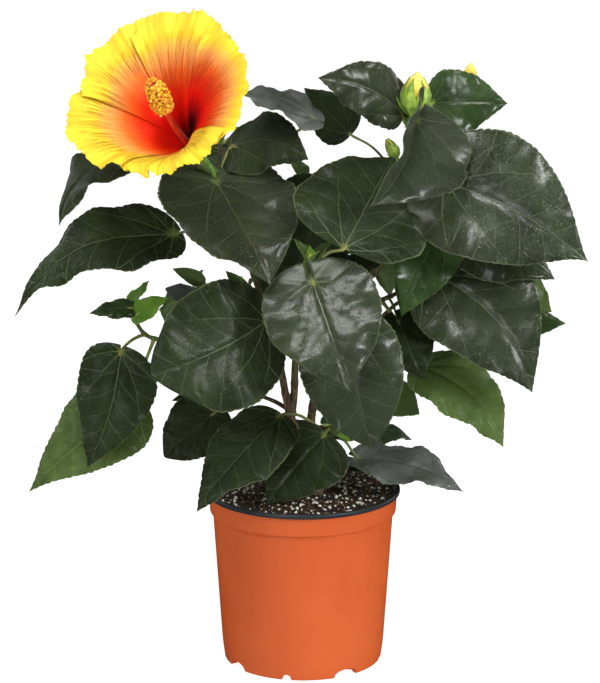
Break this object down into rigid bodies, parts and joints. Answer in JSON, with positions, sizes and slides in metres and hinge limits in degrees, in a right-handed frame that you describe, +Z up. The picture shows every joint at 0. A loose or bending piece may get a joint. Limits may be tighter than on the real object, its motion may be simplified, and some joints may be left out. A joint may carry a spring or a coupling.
{
  "type": "potted flowering shrub",
  "caption": "Flowering shrub with broad glossy pointed leaves, buds and a large open funnel-shaped bloom, growing in a tapered round plastic nursery pot.",
  "frame": {"origin": "on the ground, at the centre of the pot's flat underside", "axes": "+Z up; the side seen in front faces -Y, with the open bloom at its upper left, towards -X"},
  "size_m": [0.373, 0.268, 0.4515],
  "materials": {
    "terracotta_plastic": "satin",
    "soil": "matte",
    "bark": "matte",
    "leaf": "satin",
    "petal": "satin"
  },
  "bodies": {
    "root": {"pot": "terracotta_plastic", "soil": "soil", "stem_front": "bark", "stem_rear": "bark", "bough_left": "bark", "bough_centre": "bark", "bough_right": "bark", "bough_young": "bark", "bough_back_left": "bark", "bough_back_top": "bark", "bough_back": "bark", "bough_back_right": "bark", "bough_back_low": "bark", "leaves_bloom": "leaf", "leaves_young": "leaf", "leaves_left": "leaf", "leaves_low": "leaf", "leaves_centre": "leaf", "leaves_foot": "leaf", "leaves_top": "leaf", "leaves_right": "leaf", "leaves_lower_right": "leaf", "leaves_back_left": "leaf", "leaves_back_top": "leaf", "leaves_back": "leaf", "leaves_back_right": "leaf", "leaves_back_low": "leaf", "bloom": "petal"}
  },
  "joints": []
}
